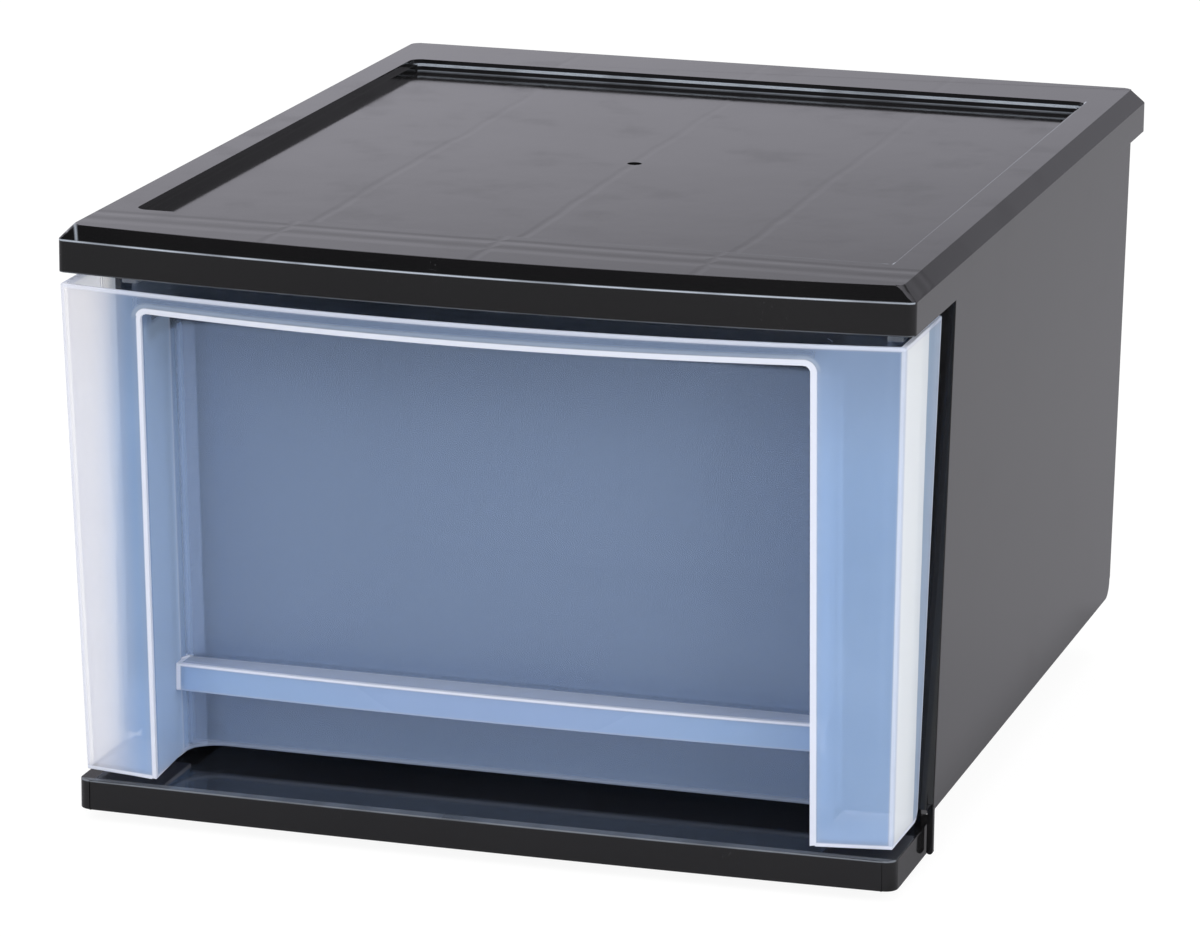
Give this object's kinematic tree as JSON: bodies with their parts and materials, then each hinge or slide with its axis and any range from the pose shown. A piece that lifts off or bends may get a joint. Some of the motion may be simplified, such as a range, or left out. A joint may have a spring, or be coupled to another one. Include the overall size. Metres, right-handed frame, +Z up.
{
  "type": "stackable drawer box",
  "caption": "Stackable storage box: open-fronted black case with a recessed lid and foot that nest, and a translucent pull-out drawer with a windowed front and pull ledge.",
  "frame": {"origin": "centre of the footprint, on the surface that the box stands on", "axes": "+Z up, +X to the right seen from the front; the drawer opens towards -Y"},
  "size_m": [0.4, 0.515, 0.284],
  "materials": {
    "black_case": "glossy moulded polypropylene",
    "clear_bin": "translucent moulded polypropylene",
    "frosted_front": "fine frosted translucent polypropylene"
  },
  "bodies": {
    "case": {"top_panel": "black_case", "base_panel": "black_case", "left_side_panel": "black_case", "right_side_panel": "black_case", "back_panel": "black_case"},
    "drawer": {"drawer_bin": "clear_bin", "drawer_front": "frosted_front"}
  },
  "joints": [
    {"name": "drawer_slide", "type": "slide", "parent": "case", "child": "drawer", "axis": [0, -1, 0], "range_m": [0, 0.35]}
  ]
}
